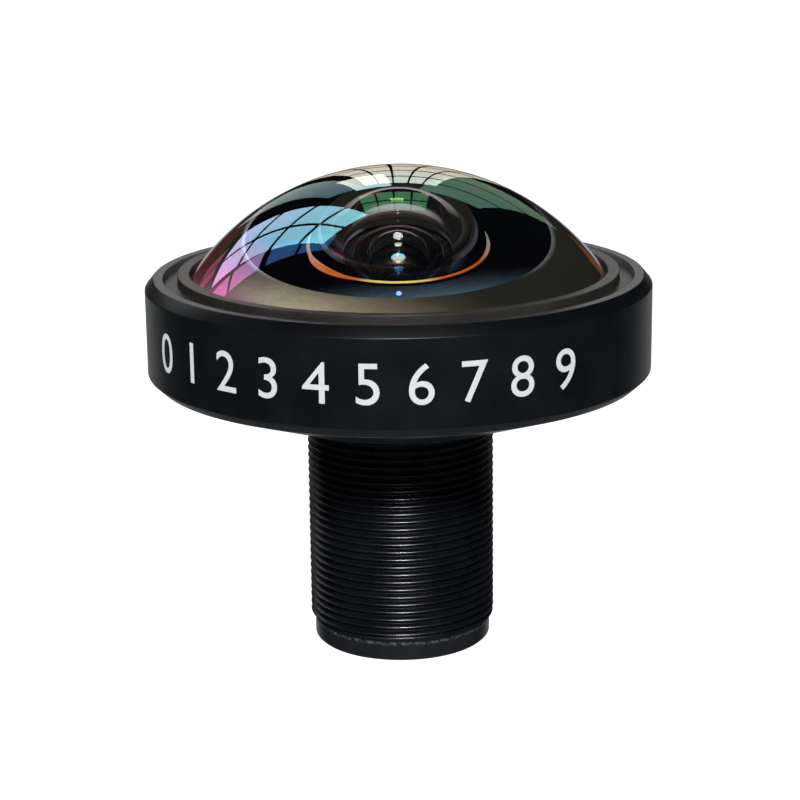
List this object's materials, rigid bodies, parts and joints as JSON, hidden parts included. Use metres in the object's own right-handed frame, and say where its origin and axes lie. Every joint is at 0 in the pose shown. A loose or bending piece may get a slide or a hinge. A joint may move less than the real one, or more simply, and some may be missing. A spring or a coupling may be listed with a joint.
{
  "type": "fisheye lens",
  "caption": "Screw-in fisheye lens with a domed front glass in a wide turned head, on a fine-threaded barrel that holds the smaller elements.",
  "frame": {"origin": "on the lens axis, at the rear face of the threaded barrel", "axes": "+Z along the lens axis towards the scene in front of the lens; the lens is round about Z, so X and Y are free"},
  "size_m": [0.0322, 0.0322, 0.0309],
  "materials": {
    "black_anodised_aluminium": "satin black anodised",
    "dull_black_aluminium": "dull black anodised",
    "black_film": "matt black polyester film",
    "seal_rubber": "black nitrile rubber",
    "front_glass": "polished, blue and purple anti-reflection coating",
    "second_glass": "polished, green anti-reflection coating",
    "inner_glass": "polished, amber anti-reflection coating",
    "filter_glass": "polished, infrared-cut coating"
  },
  "bodies": {
    "root": {"threaded_barrel": "black_anodised_aluminium", "front_housing": "black_anodised_aluminium", "front_retaining_ring": "black_anodised_aluminium", "second_lens_retainer": "dull_black_aluminium", "third_lens_retainer": "dull_black_aluminium", "third_spacer_ring": "dull_black_aluminium", "aperture_stop": "dull_black_aluminium", "stop_spacer_ring": "dull_black_aluminium", "seventh_spacer_ring": "dull_black_aluminium", "rear_spacer_ring": "dull_black_aluminium", "rear_retaining_ring": "dull_black_aluminium", "front_shade_washer": "black_film", "second_shade_washer": "black_film", "fourth_shade_washer": "black_film", "front_seal": "seal_rubber", "front_lens": "front_glass", "second_lens": "second_glass", "third_lens": "inner_glass", "fourth_lens": "inner_glass", "fifth_lens": "inner_glass", "sixth_lens": "inner_glass", "seventh_lens": "inner_glass", "rear_lens": "inner_glass", "infrared_filter": "filter_glass"}
  },
  "joints": []
}
